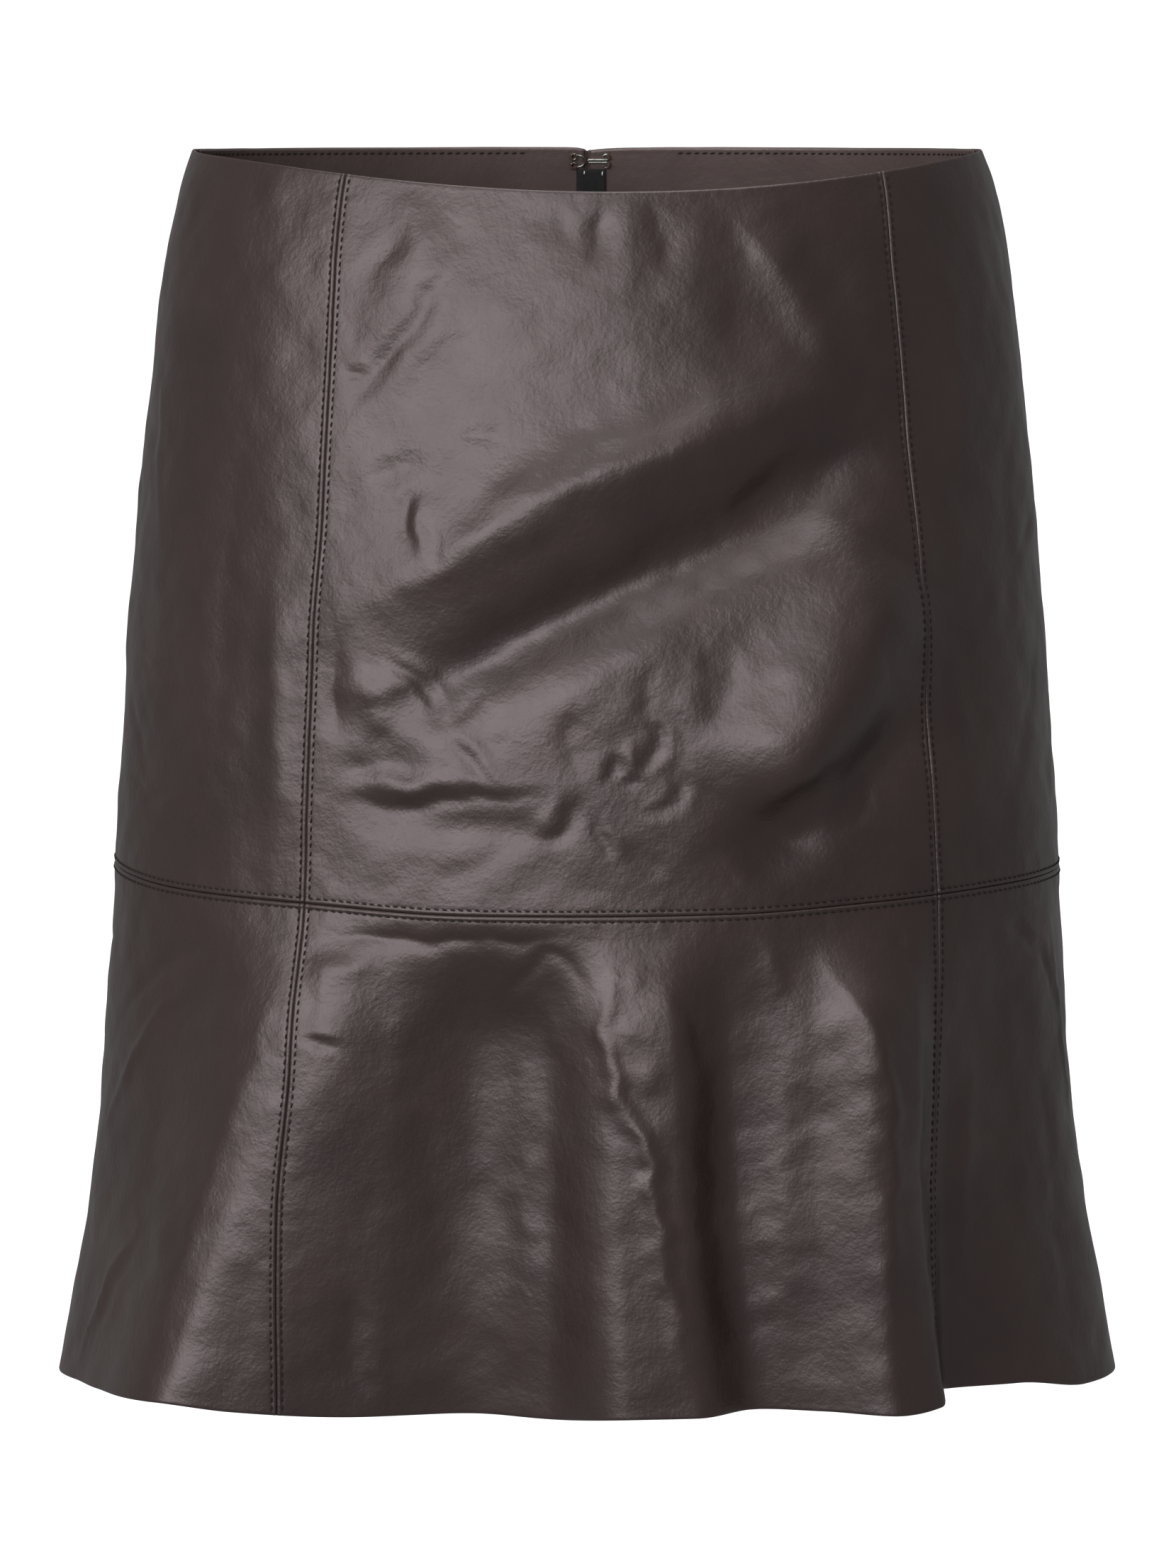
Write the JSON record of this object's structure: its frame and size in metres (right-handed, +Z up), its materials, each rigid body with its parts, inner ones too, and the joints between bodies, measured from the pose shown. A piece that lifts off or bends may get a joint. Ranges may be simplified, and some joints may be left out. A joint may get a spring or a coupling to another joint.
{
  "type": "leather mini skirt with a flounce",
  "caption": "Short leather skirt with a seamed front, a wavy flounce at the hem and a back zip, hollow and filled out as worn.",
  "frame": {"origin": "middle of the waist, level with the waist edge at the sides", "axes": "+Z up, -Y towards the front, +X to the right as seen from the front"},
  "size_m": [0.3839, 0.2918, 0.4469],
  "materials": {
    "leather": "dark brown nappa, fine grain, soft sheen",
    "facing": "dark brown nappa, fine grain, duller",
    "tape": "woven polyester tape and sewing thread",
    "metal": "dark nickel",
    "label": "black woven satin, bare"
  },
  "bodies": {
    "skirt": {"skirt_front_centre": "leather", "skirt_front_side_left": "leather", "skirt_front_side_right": "leather", "skirt_back_left": "leather", "skirt_back_right": "leather", "flounce_front_centre": "leather", "flounce_front_side_left": "leather", "flounce_front_side_right": "leather", "flounce_back_left": "leather", "flounce_back_right": "leather", "facing_back_left": "facing", "facing_back_right": "facing", "zip_tape_left": "tape", "zip_tape_right": "tape", "zip_slider": "metal", "hook": "metal", "eye": "metal", "label": "label"},
    "pull": {"zip_pull": "metal"}
  },
  "joints": [
    {"name": "pull_hinge", "type": "hinge", "parent": "skirt", "child": "pull", "pos_m": [0, 0.11205, -0.03337], "axis": [1, 0, 0], "range_deg": [0, 150]}
  ]
}
